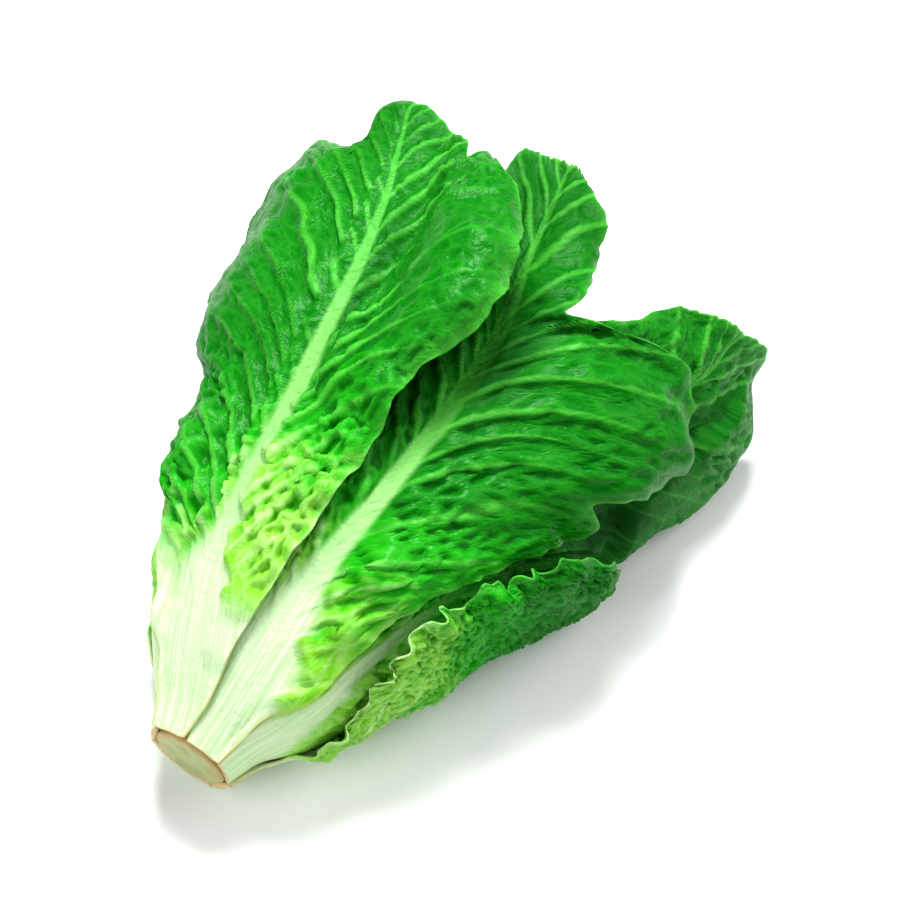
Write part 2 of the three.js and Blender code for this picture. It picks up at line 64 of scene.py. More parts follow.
to_camera = Vector((
    -math.cos(LOOK_AZIMUTH) * math.cos(LOOK_ELEVATION),
    -math.sin(LOOK_AZIMUTH) * math.cos(LOOK_ELEVATION),
    math.sin(LOOK_ELEVATION),
))
picture_right = Vector((math.sin(LOOK_AZIMUTH), -math.cos(LOOK_AZIMUTH), 0))
picture_up = to_camera.cross(picture_right)
half_picture = PICTURE / 2
aim = head_start + Vector((0, 0, CUT_FACE_HEIGHT))
aim += picture_right * ((half_picture - CUT_FACE_PIXEL[0]) / PIXELS_PER_METRE)
aim += picture_up * ((CUT_FACE_PIXEL[1] - half_picture) / PIXELS_PER_METRE)
distance = PICTURE / PIXELS_PER_METRE * LENS / SENSOR
head_middle = Vector((0, 0, HEAD_MIDDLE_HEIGHT))
camera_data = bpy.data.cameras.new("camera")
camera_data.sensor_width = SENSOR
camera_data.lens = LENS
camera = bpy.data.objects.new("camera", camera_data)
camera.location = aim + to_camera * (distance + (head_middle - aim).dot(to_camera))
camera.rotation_mode = "QUATERNION"
camera.rotation_quaternion = to_camera.to_track_quat("Z", "Y")
scene.collection.objects.link(camera)
scene.camera = camera

TABLE_HALF = 3.0
table_mesh = bpy.data.meshes.new("table")
table_corners = [(x * TABLE_HALF, y * TABLE_HALF, 0) for x, y in ((-1, -1), (1, -1), (1, 1), (-1, 1))]
table_mesh.from_pydata(table_corners, [], [(0, 1, 2, 3)])
table = bpy.data.objects.new("table", table_mesh)
scene.collection.objects.link(table)
table_white = bpy.data.materials.new("table_white")
table_white.use_nodes = True
table_shader = table_white.node_tree.nodes["Principled BSDF"]
table_shader.inputs["Base Color"].default_value = (0.93, 0.93, 0.93, 1)
table_shader.inputs["Roughness"].default_value = 0.8
table_mesh.materials.append(table_white)

SKY_STRENGTH = 0.3
world = bpy.data.worlds.new("studio")
world.use_nodes = True
world.node_tree.nodes["Background"].inputs["Color"].default_value = (1, 1, 1, 1)
world.node_tree.nodes["Background"].inputs["Strength"].default_value = SKY_STRENGTH
scene.world = world
scene.view_settings.view_transform = "Standard"

# Each lamp: place, width and power.
LAMPS = {
    "key_lamp": ((0.46, 0.26, 1.02), 0.4, 21),
    "fill_lamp": ((0.55, -0.75, 0.85), 0.9, 7),
    "near_lamp": ((-0.72, 0.22, 0.80), 0.8, 4.5),
}
for lamp_name, (place, width, power) in LAMPS.items():
    lamp_data = bpy.data.lights.new(lamp_name, "AREA")
    lamp_data.size = width
    lamp_data.energy = power
    lamp = bpy.data.objects.new(lamp_name, lamp_data)
    lamp.location = place
    lamp.rotation_mode = "QUATERNION"
    lamp.rotation_quaternion = (Vector(place) - head_middle).to_track_quat("Z", "Y")
    scene.collection.objects.link(lamp)


# Stem.
# The stem is the solid pith core that every leaf grows from. It was cut straight across, and the
# cut face has dried to a beige green with a browned rim and faint rings of sap vessels.
CENTRE_HEIGHT = [(0, 30), (45, 38), (90, 44), (145, 49), (310, 52)]
STEM_PROFILE = [(1, 16.6), (5, 16.2), (20, 12), (45, 9), (80, 5), (100, 1)]
STEM_RIM_RADIUS = 15.6
STEM_RIM_PLACE = 1
STEM_END = 100
FACE_PLACE = 0.15
SAW_MARK = 0.12
LUMP = 0.25
SMALL_LUMP = 0.18
STEM_SIDES = 120
STEM_FACE_RINGS = 16
STEM_BODY_RINGS = 40
RING_CROWDING = 1.6


def along(stations, place):
    """Smooth curve through (place, value) stations; flat past the ends, no overshoot at a peak."""
    spots = np.array([station[0] for station in stations], float)
    values = np.array([station[1] for station in stations], float)
    rises = np.diff(values) / np.diff(spots)
    slopes = np.empty_like(values)
    slopes[1:-1] = (values[2:] - values[:-2]) / (spots[2:] - spots[:-2])
    slopes[1:-1][rises[:-1] * rises[1:] <= 0] = 0
    slopes[0] = rises[0]
    slopes[-1] = rises[-1]
    x = np.clip(place, spots[0], spots[-1])
    k = np.clip(np.searchsorted(spots, x, side="right") - 1, 0, len(spots) - 2)
    span = spots[k + 1] - spots[k]
    t = (x - spots[k]) / span
    start = (2 * t**3 - 3 * t**2 + 1) * values[k] + (t**3 - 2 * t**2 + t) * span * slopes[k]
    end = (3 * t**2 - 2 * t**3) * values[k + 1] + (t**3 - t**2) * span * slopes[k + 1]
    return start + end


def ease(start, end, x):
    """0 before start, 1 past end, and a soft step between."""
    t = np.clip((x - start) / (end - start), 0, 1)
    return t * t * (3 - 2 * t)


class Wire:
    """A node's output. Sums and products of wires and numbers make Math nodes."""

    def __init__(self, graph, socket):
        self.graph = graph
        self.socket = socket

    def maths(self, operation, *operands):
        values = dict(enumerate(operands))
        return self.graph.node("ShaderNodeMath", {"operation": operation}, values)

    def __add__(self, other):
        return self.maths("ADD", self, other)

    def __radd__(self, other):
        return self.maths("ADD", other, self)

    def __sub__(self, other):
        return self.maths("SUBTRACT", self, other)

    def __rsub__(self, other):
        return self.maths("SUBTRACT", other, self)

    def __mul__(self, other):
        return self.maths("MULTIPLY", self, other)

    def __rmul__(self, other):
        return self.maths("MULTIPLY", other, self)

    def step(self, start, end):
        """0 before start, 1 past end, soft between."""
        values = {"Value": self, "From Min": start, "From Max": end}
        settings = {"interpolation_type": "SMOOTHSTEP", "clamp": True}
        return self.graph.node("ShaderNodeMapRange", settings, values, "Result")


class Graph:
    """Adds nodes to one shader or geometry tree."""

    def __init__(self, tree):
        self.tree = tree

    def plug(self, socket, value):
        if isinstance(value, Wire):
            self.tree.links.new(value.socket, socket)
        else:
            socket.default_value = value

    def node(self, kind, settings=None, values=None, output=0):
        made = self.tree.nodes.new(kind)
        for name, value in (settings or {}).items():
            setattr(made, name, value)
        for name, value in (values or {}).items():
            self.plug(made.inputs[name], value)
        return Wire(self, made.outputs[output])

    def attribute(self, name, output="Fac"):
        return self.node("ShaderNodeAttribute", {"attribute_name": name}, None, output)

    def noise(self, place, scale, detail, output=0):
        """Soft uneven clouds, from 0 to 1."""
        values = {"Vector": place, "Scale": scale, "Detail": detail}
        return self.node("ShaderNodeTexNoise", None, values, output)

    def vectors(self, operation, values):
        return self.node("ShaderNodeVectorMath", {"operation": operation}, values)

    def cells(self, place, scale):
        """Distance to the nearest small vein of a net of uneven cells."""
        noise = self.noise(place, scale * 0.8, 2, "Color")
        shift = self.vectors("SCALE", {0: noise, "Scale": 4.5})
        warped = self.vectors("ADD", {0: place, 1: shift})
        settings = {"feature": "DISTANCE_TO_EDGE"}
        values = {"Vector": warped, "Scale": scale}
        return self.node("ShaderNodeTexVoronoi", settings, values, "Distance")

    def mixed(self, share, first, second):
        """Colour that goes from first to second as share goes from 0 to 1."""
        colour_sockets = {0: share, 6: first, 7: second}
        settings = {"data_type": "RGBA", "clamp_factor": True}
        return self.node("ShaderNodeMix", settings, colour_sockets, 2)


def tissue(name, roughness, specular):
    """A new material with its graph and the sockets of its shader."""
    material = bpy.data.materials.new(name)
    material.use_nodes = True
    shader = material.node_tree.nodes["Principled BSDF"]
    shader.inputs["Roughness"].default_value = roughness
    shader.inputs["Specular IOR Level"].default_value = specular
    return material, Graph(material.node_tree), shader.inputs


def cut_stem_tissue():
    """Dried pith: cloudy beige, with a faint ring of sap vessels and a browned rim."""
    material, graph, shader = tissue("cut_stem_tissue", 0.55, 0.3)
    beige = (0.31, 0.37, 0.14, 1)
    pale = (0.40, 0.46, 0.20, 1)
    brown = (0.55, 0.32, 0.12, 1)
    place = graph.node("ShaderNodeTexCoord", None, None, "Object")
    from_centre = graph.attribute("from_centre")
    cloudy = graph.noise(place, 120, 4)
    pith = graph.mixed(cloudy.step(0.35, 0.65), beige, pale)
    wavy = from_centre + (cloudy - 0.5) * 0.10
    vessels = wavy.step(0.60, 0.68) * (1 - wavy.step(0.72, 0.80))
    ringed = graph.mixed(vessels * 0.28, pith, brown)
    rim = (from_centre + (cloudy - 0.5) * 0.16).step(0.86, 1.0)
    graph.plug(shader["Base Color"], graph.mixed(rim * 0.6, ringed, brown))
    fibres = graph.noise(place, 900, 3)
    bump = {"Height": fibres + cloudy * 2, "Strength": 0.25, "Distance": 0.0006}
    graph.plug(shader["Normal"], graph.node("ShaderNodeBump", None, bump))
    return material


def grid_faces(rows, columns, wrap=False):
    """Quads of a grid of points, given row by row; wrap closes each row on itself."""
    across = columns if wrap else columns - 1
    i, j = np.meshgrid(np.arange(rows - 1), np.arange(across), indexing="ij")
    beside = (j + 1) % columns
    corners = [i * columns + j, (i + 1) * columns + j, (i + 1) * columns + beside, i * columns + beside]
    return np.stack(corners, -1).reshape(-1, 4)


def new_piece(name, points, faces):
    """Object of that name, from points in millimetres: along the head, to its left, and up."""
    metres = np.asarray(points) * MM + np.array(head_start)
    mesh = bpy.data.meshes.new(name)
    mesh.from_pydata(metres.tolist(), [], [tuple(face) for face in faces])
    mesh.update()
    piece = bpy.data.objects.new(name, mesh)
    scene.collection.objects.link(piece)
    return piece


def paint(mesh, name, values):
    """Keeps one number for each point of the mesh, for its material to read."""
    layer = mesh.attributes.new(name, "FLOAT", "POINT")
    layer.data.foreach_set("value", np.asarray(values, np.float32).ravel())


face_rings = np.linspace(0, 1, STEM_FACE_RINGS + 1)[1:]
body_share = np.linspace(0, 1, STEM_BODY_RINGS)**RING_CROWDING
body_places = STEM_RIM_PLACE + (STEM_END - STEM_RIM_PLACE) * body_share
ring_places = np.concatenate([0 * face_rings, body_places])
ring_radii = np.concatenate([face_rings * STEM_RIM_RADIUS, along(STEM_PROFILE, body_places)])
ring_share = np.concatenate([face_rings, np.ones(STEM_BODY_RINGS)])
turn = np.linspace(0, 2 * np.pi, STEM_SIDES, endpoint=False)
lumps = LUMP * np.sin(3 * turn + 1) + SMALL_LUMP * np.sin(7 * turn)
radii = ring_radii[:, None] + lumps * ring_share[:, None] - LUMP
saw_marks = SAW_MARK * np.sin(ring_radii[:, None] * np.sin(turn) * 0.9 + 2 * np.cos(turn))
depth = np.where(ring_places[:, None] > 0, ring_places[:, None], FACE_PLACE + saw_marks)
heights = along(CENTRE_HEIGHT, depth) + radii * np.cos(turn)
stem_points = np.stack([depth, radii * np.sin(turn), heights], -1).reshape(-1, 3)
stem_ends = [
    (FACE_PLACE, 0, along(CENTRE_HEIGHT, 0)),
    (STEM_END, 0, along(CENTRE_HEIGHT, STEM_END)),
]
stem_points = np.concatenate([stem_points, stem_ends])
rings = len(ring_places)
stem_faces = [tuple(face) for face in grid_faces(rings, STEM_SIDES, wrap=True)]
last_ring = (rings - 1) * STEM_SIDES
face_centre, far_end = rings * STEM_SIDES, rings * STEM_SIDES + 1
for k in range(STEM_SIDES):
    after = (k + 1) % STEM_SIDES
    stem_faces.append((face_centre, k, after))
    stem_faces.append((far_end, last_ring + after, last_ring + k))
stem = new_piece("cut_stem", stem_points, stem_faces)
paint(stem.data, "from_centre", np.append(np.repeat(ring_share, STEM_SIDES), [0, 1]))
stem.data.shade_smooth()
stem.data.materials.append(cut_stem_tissue())
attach(stem, "root")
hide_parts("stem")


# Heart leaves.
# Five small pale leaves wrap each other tightly at the heart of the head. A leaf is one thin
# blade of tissue with a fleshy rounded midrib on its back, grown out of the stem at its base.
BLADE = 1.2
SHOWN_BLADE = 0.8
PUCKER_HEIGHT = 3.2
PUCKER_SIZE = 6.5
HALF_WIDTH = [
    (0, 17.6), (13, 24), (22, 31), (41, 44), (60, 53), (87, 67), (115, 78),
    (150, 92), (185, 101), (220, 107), (250, 111), (300, 107),
]
HALF_HEIGHT = [
    (0, 17.6), (13, 23), (22, 28), (45, 40), (90, 53), (145, 61), (200, 66), (250, 67), (310, 64),
]
ROUNDNESS = 2.3
OUTER_HALF_BLADE = [
    (0, 7.4), (0.04, 10), (0.08, 13.5), (0.15, 21), (0.3, 40), (0.45, 58), (0.6, 72), (0.75, 76), (1, 70),
]
OUTER_RIB = [(0, 8, 2.2), (0.04, 8.5, 4.4), (0.2, 7, 4), (0.4, 5, 3), (0.7, 3, 1.6), (1, 1.2, 0.6)]
INNER_RIB = [(0, 6, 2), (0.3, 4, 1.8), (0.7, 2.5, 1.2), (1, 1, 0.5)]
LEAN_ROUNDS = 24
NO_GROUND = 1000
COVER_LENGTH = 320
ALONG_STEP = 5
TURN_STEP = 4
cover_places = np.arange(0, COVER_LENGTH + 1, ALONG_STEP, dtype=float)
cover_turns = np.radians(np.arange(-180, 181, TURN_STEP, dtype=float))
COVER_S, COVER_TURN = np.meshgrid(cover_places, cover_turns, indexing="ij")


def section(s, bearing):
    """The head's rounded section: distance from the centre line at a bearing from straight up."""
    across = np.abs(np.sin(bearing)) / along(HALF_WIDTH, s)
    upright = np.abs(np.cos(bearing)) / along(HALF_HEIGHT, s)
    return (across**ROUNDNESS + upright**ROUNDNESS)**(-1 / ROUNDNESS)


def turned(angle):
    return (angle + np.pi) % (2 * np.pi) - np.pi


def cover_at(cover, s, bearing):
    """How far out the leaves laid so far reach, between the points of the cover's grid."""
    a = np.clip(s / ALONG_STEP, 0, len(cover_places) - 1.001)
    b = np.clip((turned(bearing) + np.pi) / math.radians(TURN_STEP), 0, len(cover_turns) - 1.001)
    i, j = a.astype(int), b.astype(int)
    near = cover[i, j] * (1 - b + j) + cover[i, j + 1] * (b - j)
    far = cover[i + 1, j] * (1 - b + j) + cover[i + 1, j + 1] * (b - j)
    return near * (1 - a + i) + far * (a - i)


def spread(laid, before):
    """Spreads what the new leaf raised by one step of the grid, near the stem sideways only."""
    near_stem = 30
    raised = np.where(laid > before, laid, 0)[:, :-1]
    highest = laid[:, :-1].copy()
    past_base = (cover_places >= near_stem)[:, None]
    for m in (-1, 0, 1):
        rows = np.clip(np.arange(len(cover_places)) + m, 0, len(cover_places) - 1)
        for n in (-1, 0, 1):
            beside = np.maximum(highest, np.roll(raised[rows], -n, 1))
            highest = np.where(past_base | (m == 0), beside, highest)
    return np.concatenate([highest, highest[:, :1]], 1)


def round_tip(drop):
    """Tip outline of a plain round leaf: reach of the blade for each side, -1 to 1."""
    sides = np.array([-1, -0.97, -0.9, -0.75, -0.5, -0.25, 0, 0.25, 0.5, 0.75, 0.9, 0.97, 1])
    return [(v, 1 - drop * (0.5 * abs(v)**2.5 + 0.5 * (1 - math.sqrt(1 - v * v)))) for v in sides]


def narrowed(share):
    """Half widths of a plain blade as a share of the widest one's, with the base left as it is."""
    base_top = 0.07
    return [(reach, half * share if reach > base_top else half) for reach, half in OUTER_HALF_BLADE]


class Leaf:
    """One leaf. "s" is the place along the head; "lateral" is the distance from the leaf's middle
    line, plus towards +Y over the top; "side" is -1 to 1 from margin to margin; "reach" is 0 at
    the base and 1 at the tip. Each leaf gives its end, its bearing and its ride (the share of the
    head's section that it lies on) by s, and its left and right half widths by reach."""

    # Outline: its start, the tip's reach by side, and the forward lean of its rows left and right
    # of the middle. A nick is (side, breadth, depth) in the tip or (side, reach, breadth, depth)
    # in a side margin.
    base = 0.8
    tip = round_tip(0.3)
    lean = (0.45, 0.45)
    nicks = ()
    margin_nicks = ()
    teeth = 0.5
    rows = 120
    columns = 90
    # Form: ruffles and frills by the margin, broad swellings, and the height kept off the ground.
    # A fold, which the solid has too, and a bulge are each (side, s, breadth, span, lift).
    ruffle = 4
    ruffle_length = 34
    swell = 2.5
    phase = 0
    ground = 0.6
    folds = ()
    bulges = ()
    frill = 1.0
    # Midrib: breadth and height by reach, and how far its crest swings off the middle line.
    rib = OUTER_RIB
    rib_swing = ((0, 0), (1, 0))
    # Side veins, pleats and puckers. A flap is (side, first s, last s, its edge's distance from
    # the middle line by s, scallop, lift).
    vein_spacing = 16
    pleat = 1.2
    crinkle = 0.4
    grain = 1.2
    flaps = ()
    # Colour: reaches between which the blade and the midrib turn green, the blade's shift left and
    # right of the middle, and the white of the midrib and the foot. A patch of painted shade, where a
    # hollow falls into shade, is (lateral, s, breadth, span, strength), and the painted highlight along
    # a margin that curls up into the light is (side, first s, last s, breadth).
    greening = (0.1, 0.55)
    greener = (0, 0)
    rib_fade = (0.45, 0.85)
    rib_white = ((0, 9), (0.1, 7), (0.3, 5.2), (0.5, 4.5), (0.7, 2.6), (0.85, 1.2), (1, 0.6))
    foot = ((0, 30), (0.08, 20), (0.2, 12), (0.35, 8), (0.6, 4.5), (1, 2))
    foot_top = (0.05, 0.13)
    painted_shades = ()
    highlight_margin = (0, 0, 1, 1)

    def __init__(self, **settings):
        self.__dict__.update(settings)
        self.length = self.end - self.base

    def midrib_bearing(self, s):
        return np.radians(along(self.bearing, s))

    def midrib_radius(self, s):
        return section(s, self.midrib_bearing(s)) * along(self.ride, s)

    def half_blade(self, reach, side):
        return np.where(side < 0, along(self.right, reach), along(self.left, reach))

    def row_lean(self, s, lateral):
        share = np.where(lateral < 0, self.lean[1], self.lean[0])
        return share * ease(12, 80, s) * np.abs(lateral)

    def place(self, s, bearing):
        """Where a point of the head lies on the leaf; row is 1 all along the tip's outline."""
        lateral = turned(bearing - self.midrib_bearing(s)) * self.midrib_radius(s)
        reach = np.clip((s - self.row_lean(s, lateral) - self.base) / self.length, -0.3, 1.4)
        side = lateral / self.half_blade(reach, lateral)
        row = reach / along(self.tip, np.clip(side, -1, 1))
        return row, side, lateral, reach

    def from_rib(self, reach, lateral):
        """Distance from the midrib's crest, which may swing off the leaf's middle line."""
        return lateral - along(self.rib_swing, reach)

    def rib_height(self, reach, lateral):
        breadth = along([station[:2] for station in self.rib], reach)
        height = along([station[::2] for station in self.rib], reach)
        return height * np.exp(-1.3 * (self.from_rib(reach, lateral) / breadth)**2)

    def from_margin(self, row, side, lateral, reach):
        """Rough distance to the nearest margin."""
        from_side = np.clip(1 - np.abs(side), 0, 1) * self.half_blade(reach, lateral)
        from_tip = np.clip(1 - row, 0, 1) * self.length * 0.9
        return np.minimum(from_side, from_tip)

    def swollen(self, radius, swellings, side, s):
        """The radius with soft round rises on it, each (side, s, breadth, span, lift)."""
        for middle_side, middle_s, breadth, span, lift in swellings:
            away = ((side - middle_side) / breadth)**2 + ((s - middle_s) / span)**2
            radius = radius + lift * np.exp(-away)
        return radius

    def free_radius(self, s, bearing):
        """How far out the leaf would lie with nothing inside it."""
        row, side, lateral, reach = self.place(s, bearing)
        turn = 2 * np.pi
        ruffled_margin = 13
        swell_lengths = (78, 95)
        first = turn * (s + 0.35 * lateral) / self.ruffle_length + self.phase
        second = turn * (0.8 * s - 0.7 * lateral) / (0.77 * self.ruffle_length) + 2 * self.phase + 1
        slow = np.sin(first + 1.1 * np.sin(0.37 * first + self.phase))
        quick = np.sin(second + 1.3 * np.sin(0.29 * second))
        near_margin = np.exp(-self.from_margin(row, side, lateral, reach) / ruffled_margin)
        grown = ease(0.08, 0.3, reach)
        calm_tip = 1 - 0.5 * ease(0.75, 1, row)
        lengthwise = np.sin(turn * (0.7 * s + 0.8 * lateral) / swell_lengths[0] + 1.7 * self.phase)
        crosswise = np.sin(turn * (0.5 * s - lateral) / swell_lengths[1] + self.phase)
        radius = section(s, bearing) * along(self.ride, s)
        radius = radius + self.ruffle * near_margin * (slow + 0.6 * quick) / 1.3 * grown * calm_tip
        radius = radius + self.swell * lengthwise * crosswise * grown * ease(0, 20, np.abs(lateral))
        return self.swollen(radius, self.folds, side, s)

    def ground_limit(self, s, bearing):
        """Radius at which the leaf would press on the ground, or on what lies there."""
        row, side, lateral, reach = self.place(s, bearing)
        down = -np.cos(bearing)
        level = 0.05
        lifted = self.ground * ease(0, 30 + 3 * self.ground, s)
        room = along(CENTRE_HEIGHT, s) - lifted - self.rib_height(reach, lateral)
        return np.where(down < level, NO_GROUND, room / np.maximum(down, level))

    def radius(self, s, bearing, cover):
        free = self.free_radius(s, bearing)
        pushed = cover_at(cover, s, bearing)
        softness = 1 + 8 * ease(5, 60, s)
        lifted = 0.5 * (free + pushed + np.sqrt((free - pushed)**2 + softness))
        return np.minimum(lifted, self.ground_limit(s, bearing))

    def lay(self, cover):
        """Keeps the cover this leaf lies on, and returns the cover with the leaf on it."""
        self.cover = cover
        row, side, lateral, reach = self.place(COVER_S, COVER_TURN)
        past = (np.abs(side) - 1) * self.half_blade(reach, lateral)
        skirt = 3 + 12 * ease(5, 70, COVER_S)
        share = ease(1, 0, past / skirt)
        share = share * ease(24, 8, (row - 1) * self.length) * ease(-0.06, -0.01, reach)
        gap = 0.9 + 0.8 * ease(0, 20, COVER_S) + 1.0 * ease(20, 90, COVER_S)
        raised = np.maximum(self.relief(COVER_S, lateral, side, row, reach), 0)
        crest = 0.95 * self.rib_height(reach, lateral)
        top = self.radius(COVER_S, COVER_TURN, cover) + raised + crest + gap
        return spread(np.maximum(cover, cover + (top - cover) * share), cover)

    def veins(self, s, lateral, reach):
        """Side veins, which leave the midrib at a slant: 1 on a vein, and 1 on the pleat it tops.
        Count is a whole number on each vein; sines of unlike lengths make its steps uneven."""
        rise, bend, slant = 52, 28, 0.4
        alternate = 0.45
        out = np.abs(self.from_rib(reach, lateral))
        origin = s - rise * (1 - np.exp(-out / bend)) - slant * out
        count = origin / self.vein_spacing + 0.42 * np.sin(origin / 27 + 3 * self.phase)
        count = count + 0.2 * np.sin(origin / 11 + 5 * self.phase)
        sideways = 0.14 * np.sin(out / 12 + origin / 17 + 2 * self.phase)
        count = count + np.where(lateral < 0, alternate, 0) + sideways
        count = count + 0.05 * np.sin(s / 4 + lateral / 6)
        off_vein = np.abs(count - np.round(count))
        vein_width = 0.075 + 0.055 * ease(28, 0, out)
        twig_width = 0.035
        vein = np.exp(-(off_vein / vein_width)**2)
        twig = np.exp(-((0.5 - off_vein) / twig_width)**2) * ease(14, 30, out)
        uneven = 0.6 + 0.4 * np.sin(s / 17 + self.phase) * np.sin(lateral / 13 + 2 * self.phase)
        past_trough = (count + 0.24) % 1
        lapped = ease(0, 0.3, past_trough) * (1 - past_trough)**0.8
        rounded = (0.5 + 0.5 * np.cos(2 * np.pi * count))**1.4
        pleat = (0.35 + 0.65 * uneven) * (0.5 * rounded + 0.6 * lapped)
        return np.maximum(vein, 0.5 * twig) * (0.5 + 0.5 * uneven), pleat

    def flap_share(self, flap, s, lateral):
        """1 where the blade is raised beyond the flap's scalloped edge, 0 between it and the midrib."""
        flap_side, first, last, edge_stations, scallop, lift = flap
        lobe_length = 23
        lobes = np.abs(np.sin(np.pi * s / lobe_length + self.phase))**0.6
        small_notches = 1.1 * np.sin(s / 1.7) + 0.9 * np.sin(s / 2.9)
        edge = along(edge_stations, s) - scallop * lobes + small_notches * min(1, scallop / 4)
        raised = ease(edge - 0.6, edge + 1.4 + 0.15 * lift, lateral * flap_side)
        return raised * ease(first - 10, first + 4, s) * ease(last + 12, last - 12, s)

    def relief(self, s, lateral, side, row, reach):
        """What the solid leaves out: pleats between side veins, lapping flaps and frilled margins."""
        pleat = self.veins(s, lateral, reach)[1]
        out = np.abs(self.from_rib(reach, lateral))
        margin = self.from_margin(row, side, lateral, reach)
        grown = ease(0.12, 0.36, reach) * ease(1.5, 8, out) * (1 - 0.65 * ease(20, 50, out))
        grown = grown * ease(0, 14, margin)
        height = self.pleat * grown * pleat
        wave = np.sin(s / 1.9 + 1.3 * np.sin(s / 5.3 + self.phase))
        wave = wave + 0.7 * np.sin(s / 3.1 + lateral / 4)
        frill = self.frill * np.exp(-margin / 5) * wave
        height = height + frill * ease(0.1, 0.2, reach) * ease(1, 0.75, row)
        for flap in self.flaps:
            lift = flap[-1] * self.flap_share(flap, s, lateral)
            height = height + lift * (0.6 + 0.4 * np.exp(-out / 40))
        return self.swollen(height, self.bulges, side, s)

    def toothed_outline(self, row, side):
        """Reach of each row's points, with the tip's nicks and small teeth."""
        outline = along(self.tip, side)
        for nick_side, breadth, depth in self.nicks:
            outline = outline - depth * np.exp(-((side - nick_side) / breadth)**2)
        notch = np.sin(38 * side + self.phase) + 0.8 * np.sin(67 * side)
        tooth = 0.0022 * self.teeth
        return row * (outline + tooth * notch * row**6)

    def toothed_margin(self, row, side, reach, straight):
        """Lateral of each point, with the side margins' nicks and small teeth."""
        notch = np.sin(straight / 2.3 + self.phase) + 0.8 * np.sin(straight / 4.1 + 2 * self.phase)
        notch = notch + 0.6 * np.sin(straight / 1.1) * ease(0.3, 0.6, row)
        ragged = self.teeth * notch * np.abs(side)**8 * ease(0.12, 0.25, reach) * ease(1, 0.85, row)
        half_blade = self.half_blade(reach, side)
        for nick_side, nick_reach, breadth, depth in self.margin_nicks:
            cut_in = depth * np.exp(-((reach - nick_reach) / breadth)**2)
            half_blade = half_blade - np.where(side * nick_side > 0, cut_in, 0)
        return side * half_blade + np.sign(side) * ragged

    def sheet(self):
        """Middle surface of the blade as a grid of points, with what its material needs to know."""
        row = np.linspace(0, 1, self.rows + 1)[:, None]**1.15
        t = np.linspace(-1, 1, self.columns + 1)[None, :]
        row, side = np.broadcast_arrays(row, 1.15 * t - 0.15 * t**3)
        reach = self.toothed_outline(row, side)
        straight = self.base + reach * self.length
        lateral = self.toothed_margin(row, side, reach, straight)
        s = straight
        for _ in range(LEAN_ROUNDS):
            s = straight + self.row_lean(s, lateral)
        bearing = self.midrib_bearing(s) + lateral / self.midrib_radius(s)
        radius = self.radius(s, bearing, self.cover) + self.relief(s, lateral, side, row, reach)
        radius = np.maximum(radius, cover_at(self.cover, s, bearing) - BLADE / 2)
        radius = np.minimum(radius, self.ground_limit(s, bearing))
        height = along(CENTRE_HEIGHT, s) + radius * np.cos(bearing)
        points = np.stack([s, radius * np.sin(bearing), height], -1)
        # Leaves of unlike phase get unlike patterns.
        place = self.grain * np.stack([straight, lateral, np.full_like(s, 40 * self.phase)], -1)
        return points, place, self.paints(s, row, side, lateral, reach)

    def paints(self, s, row, side, lateral, reach):
        """What the blade's tree and its material read at each point, mostly shares of 1."""
        vein, pleat = self.veins(s, lateral, reach)
        out = np.abs(self.from_rib(reach, lateral))
        foot = along(self.foot, reach)
        white = ease(1.5, 0.5, out / foot) * (1 - ease(0.1, 0.38, reach))
        white = np.maximum(white, 1 - ease(*self.foot_top, reach))
        for flap in self.flaps:
            white = white * (1 - 0.85 * self.flap_share(flap, s, lateral))
        # Painted shade: darker where hollows under folds and lobes fall into shade.
        painted_shade = 0 * s
        for shade_lateral, shade_s, breadth, span, strength in self.painted_shades:
            away = ((lateral - shade_lateral) / breadth)**2 + ((s - shade_s) / span)**2
            painted_shade = np.maximum(painted_shade, strength * np.exp(-away))
        margin = self.from_margin(row, side, lateral, reach)
        # Painted highlight along the stretch of margin that curls up into the light.
        highlight_side, first, last, breadth = self.highlight_margin
        pale = np.exp(-(margin / breadth)**1.5) * ease(first, first + 15, s) * ease(last, last - 25, s)
        pale = np.where(side * highlight_side > 0, pale, 0)
        crinkle = self.crinkle + (1 - self.crinkle) * ease(0.55, 0.25, reach)
        crinkle = crinkle * ease(0.1, 0.2, reach) * ease(0.7, 1.4, out / foot) * ease(0, 7, margin)
        greened = reach + 0.0012 * out + np.where(lateral > 0, *self.greener)
        return {
            "rib_height": self.rib_height(reach, lateral) * MM,
            "crinkle": crinkle,
            "rib": np.exp(-0.7 * (out / along(self.rib_white, reach))**2),
            "vein": vein * ease(0.1, 0.25, reach) * (1 - 0.6 * ease(10, 60, out)),
            "pleat": pleat * ease(0.12, 0.3, reach),
            "green": ease(*self.greening, greened),
            "white": white,
            "reach": reach,
            # A thin pale line along every margin, and the painted highlight along a margin that curls up into
            # the light.
            "edge": np.maximum(np.exp(-margin / 1.1) * ease(0.1, 0.2, reach), pale),
            "foot_edge": np.exp(-margin / 1.0) * ease(0.2, 0.08, reach),
            "rib_green": ease(*self.rib_fade, reach),
            # Painted shade in the hollows.
            "painted_shade": painted_shade,
            "cut": np.exp(-(s - self.base) / 0.9),
        }


